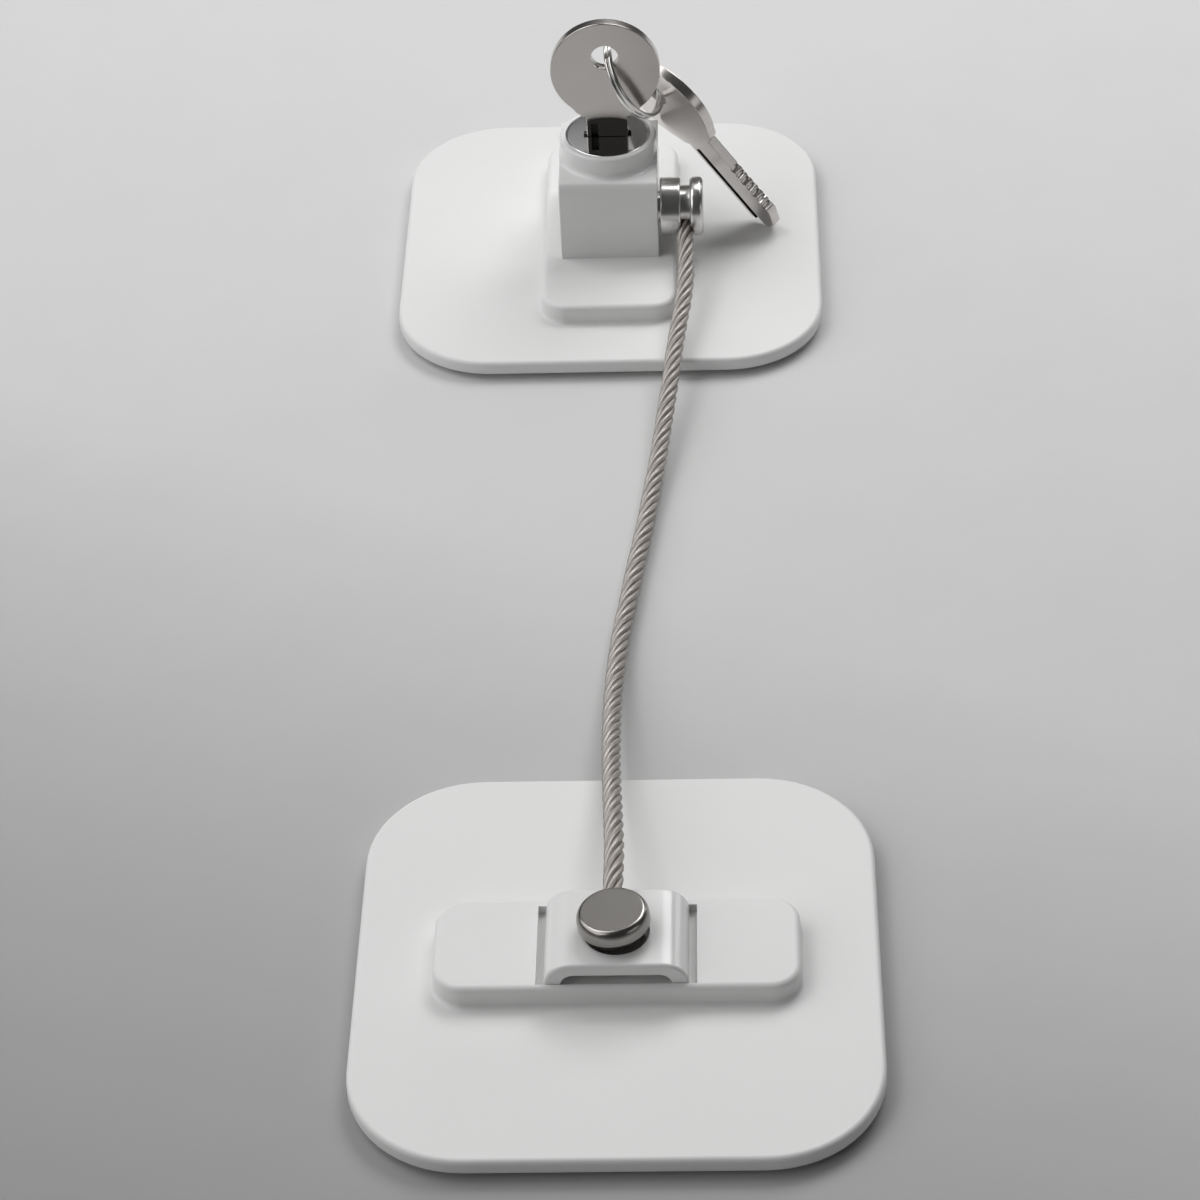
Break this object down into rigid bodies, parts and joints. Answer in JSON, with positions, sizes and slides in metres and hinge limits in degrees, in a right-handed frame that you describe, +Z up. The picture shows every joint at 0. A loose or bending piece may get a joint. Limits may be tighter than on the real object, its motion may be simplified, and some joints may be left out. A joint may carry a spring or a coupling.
{
  "type": "refrigerator lock",
  "caption": "Cable lock for a refrigerator door: keyed housing on an adhesive plate, wire rope with a latch pin, swivelling anchor plate, and keys on a split ring.",
  "frame": {"origin": "centre of the lock plate's adhesive face", "axes": "+Z up out of the plates, +Y from the anchor towards the lock, +X towards the latch pin's side"},
  "size_m": [0.0785, 0.255, 0.0488],
  "materials": {
    "foam_pad": "matt foam tape",
    "white_plastic": "moulded, satin gloss",
    "screw_steel": "zinc plated",
    "sleeve_zinc": "die cast, dull",
    "plug_chrome": "polished plate",
    "spring_steel": "blued spring steel",
    "wafer_brass": "stamped",
    "key_nickel": "satin nickel plate",
    "ring_nickel": "bright nickel plate",
    "pin_chrome": "turned and polished",
    "stud_nickel": "turned, satin nickel plate",
    "rope_steel": "bare stranded steel wire"
  },
  "bodies": {
    "lock_base": {"lock_adhesive_pad": "foam_pad", "lock_base_plate": "white_plastic", "lock_housing": "white_plastic", "housing_screws": "screw_steel", "cylinder_sleeve": "sleeve_zinc"},
    "plug": {"cylinder_plug": "plug_chrome", "plug_retaining_clip": "spring_steel", "wafer_springs": "spring_steel"},
    "right_wafer_pair": {"right_wafers": "wafer_brass"},
    "left_wafer_pair": {"left_wafers": "wafer_brass"},
    "key_in_lock": {"inserted_key": "key_nickel"},
    "key_ring": {"split_ring": "ring_nickel"},
    "spare": {"spare_key": "key_nickel"},
    "cable": {"latch_pin": "pin_chrome", "wire_rope": "rope_steel", "anchor_stud": "stud_nickel", "stud_retaining_clip": "spring_steel"},
    "anchor": {"anchor_adhesive_pad": "foam_pad", "anchor_base_plate": "white_plastic", "anchor_bracket": "white_plastic", "stud_washer": "screw_steel"}
  },
  "joints": [
    {"name": "plug_turn", "type": "hinge", "parent": "lock_base", "child": "plug", "pos_m": [0, 0, 0.0244], "axis": [0, 0, 1], "range_deg": [0, 90]},
    {"name": "key_withdraw", "type": "slide", "parent": "plug", "child": "key_in_lock", "axis": [0, 0, 1], "range_m": [0, 0.024]},
    {"name": "right_wafer_slide", "type": "slide", "parent": "plug", "child": "right_wafer_pair", "axis": [1, 0, 0], "range_m": [0, 0.0005]},
    {"name": "left_wafer_slide", "type": "slide", "parent": "plug", "child": "left_wafer_pair", "axis": [-1, 0, 0], "range_m": [0, 0.0005]},
    {"name": "key_ring_swing", "type": "hinge", "parent": "key_in_lock", "child": "key_ring", "pos_m": [0, 0, 0.042], "axis": [0, -1, 0], "range_deg": [0, 30]},
    {"name": "spare_key_swing", "type": "hinge", "parent": "key_ring", "child": "spare", "pos_m": [0.00926, 0.00727, 0.02995], "axis": [-0.6462, -0.6657, -0.3731], "range_deg": [0, 40]},
    {"name": "pin_pull", "type": "slide", "parent": "lock_base", "child": "cable", "axis": [1, 0, 0], "range_m": [0, 0.02]},
    {"name": "anchor_swivel", "type": "hinge", "parent": "cable", "child": "anchor", "pos_m": [0.0035, -0.18115, 0.00955], "axis": [0, 0, 1], "continuous": true}
  ],
  "couplings": [
    {"joint": "right_wafer_slide", "follows": "key_withdraw", "ratio": 0.0208},
    {"joint": "left_wafer_slide", "follows": "key_withdraw", "ratio": 0.0208},
    {"joint": "key_ring_swing", "follows": "plug_turn", "ratio": 0.3333}
  ]
}
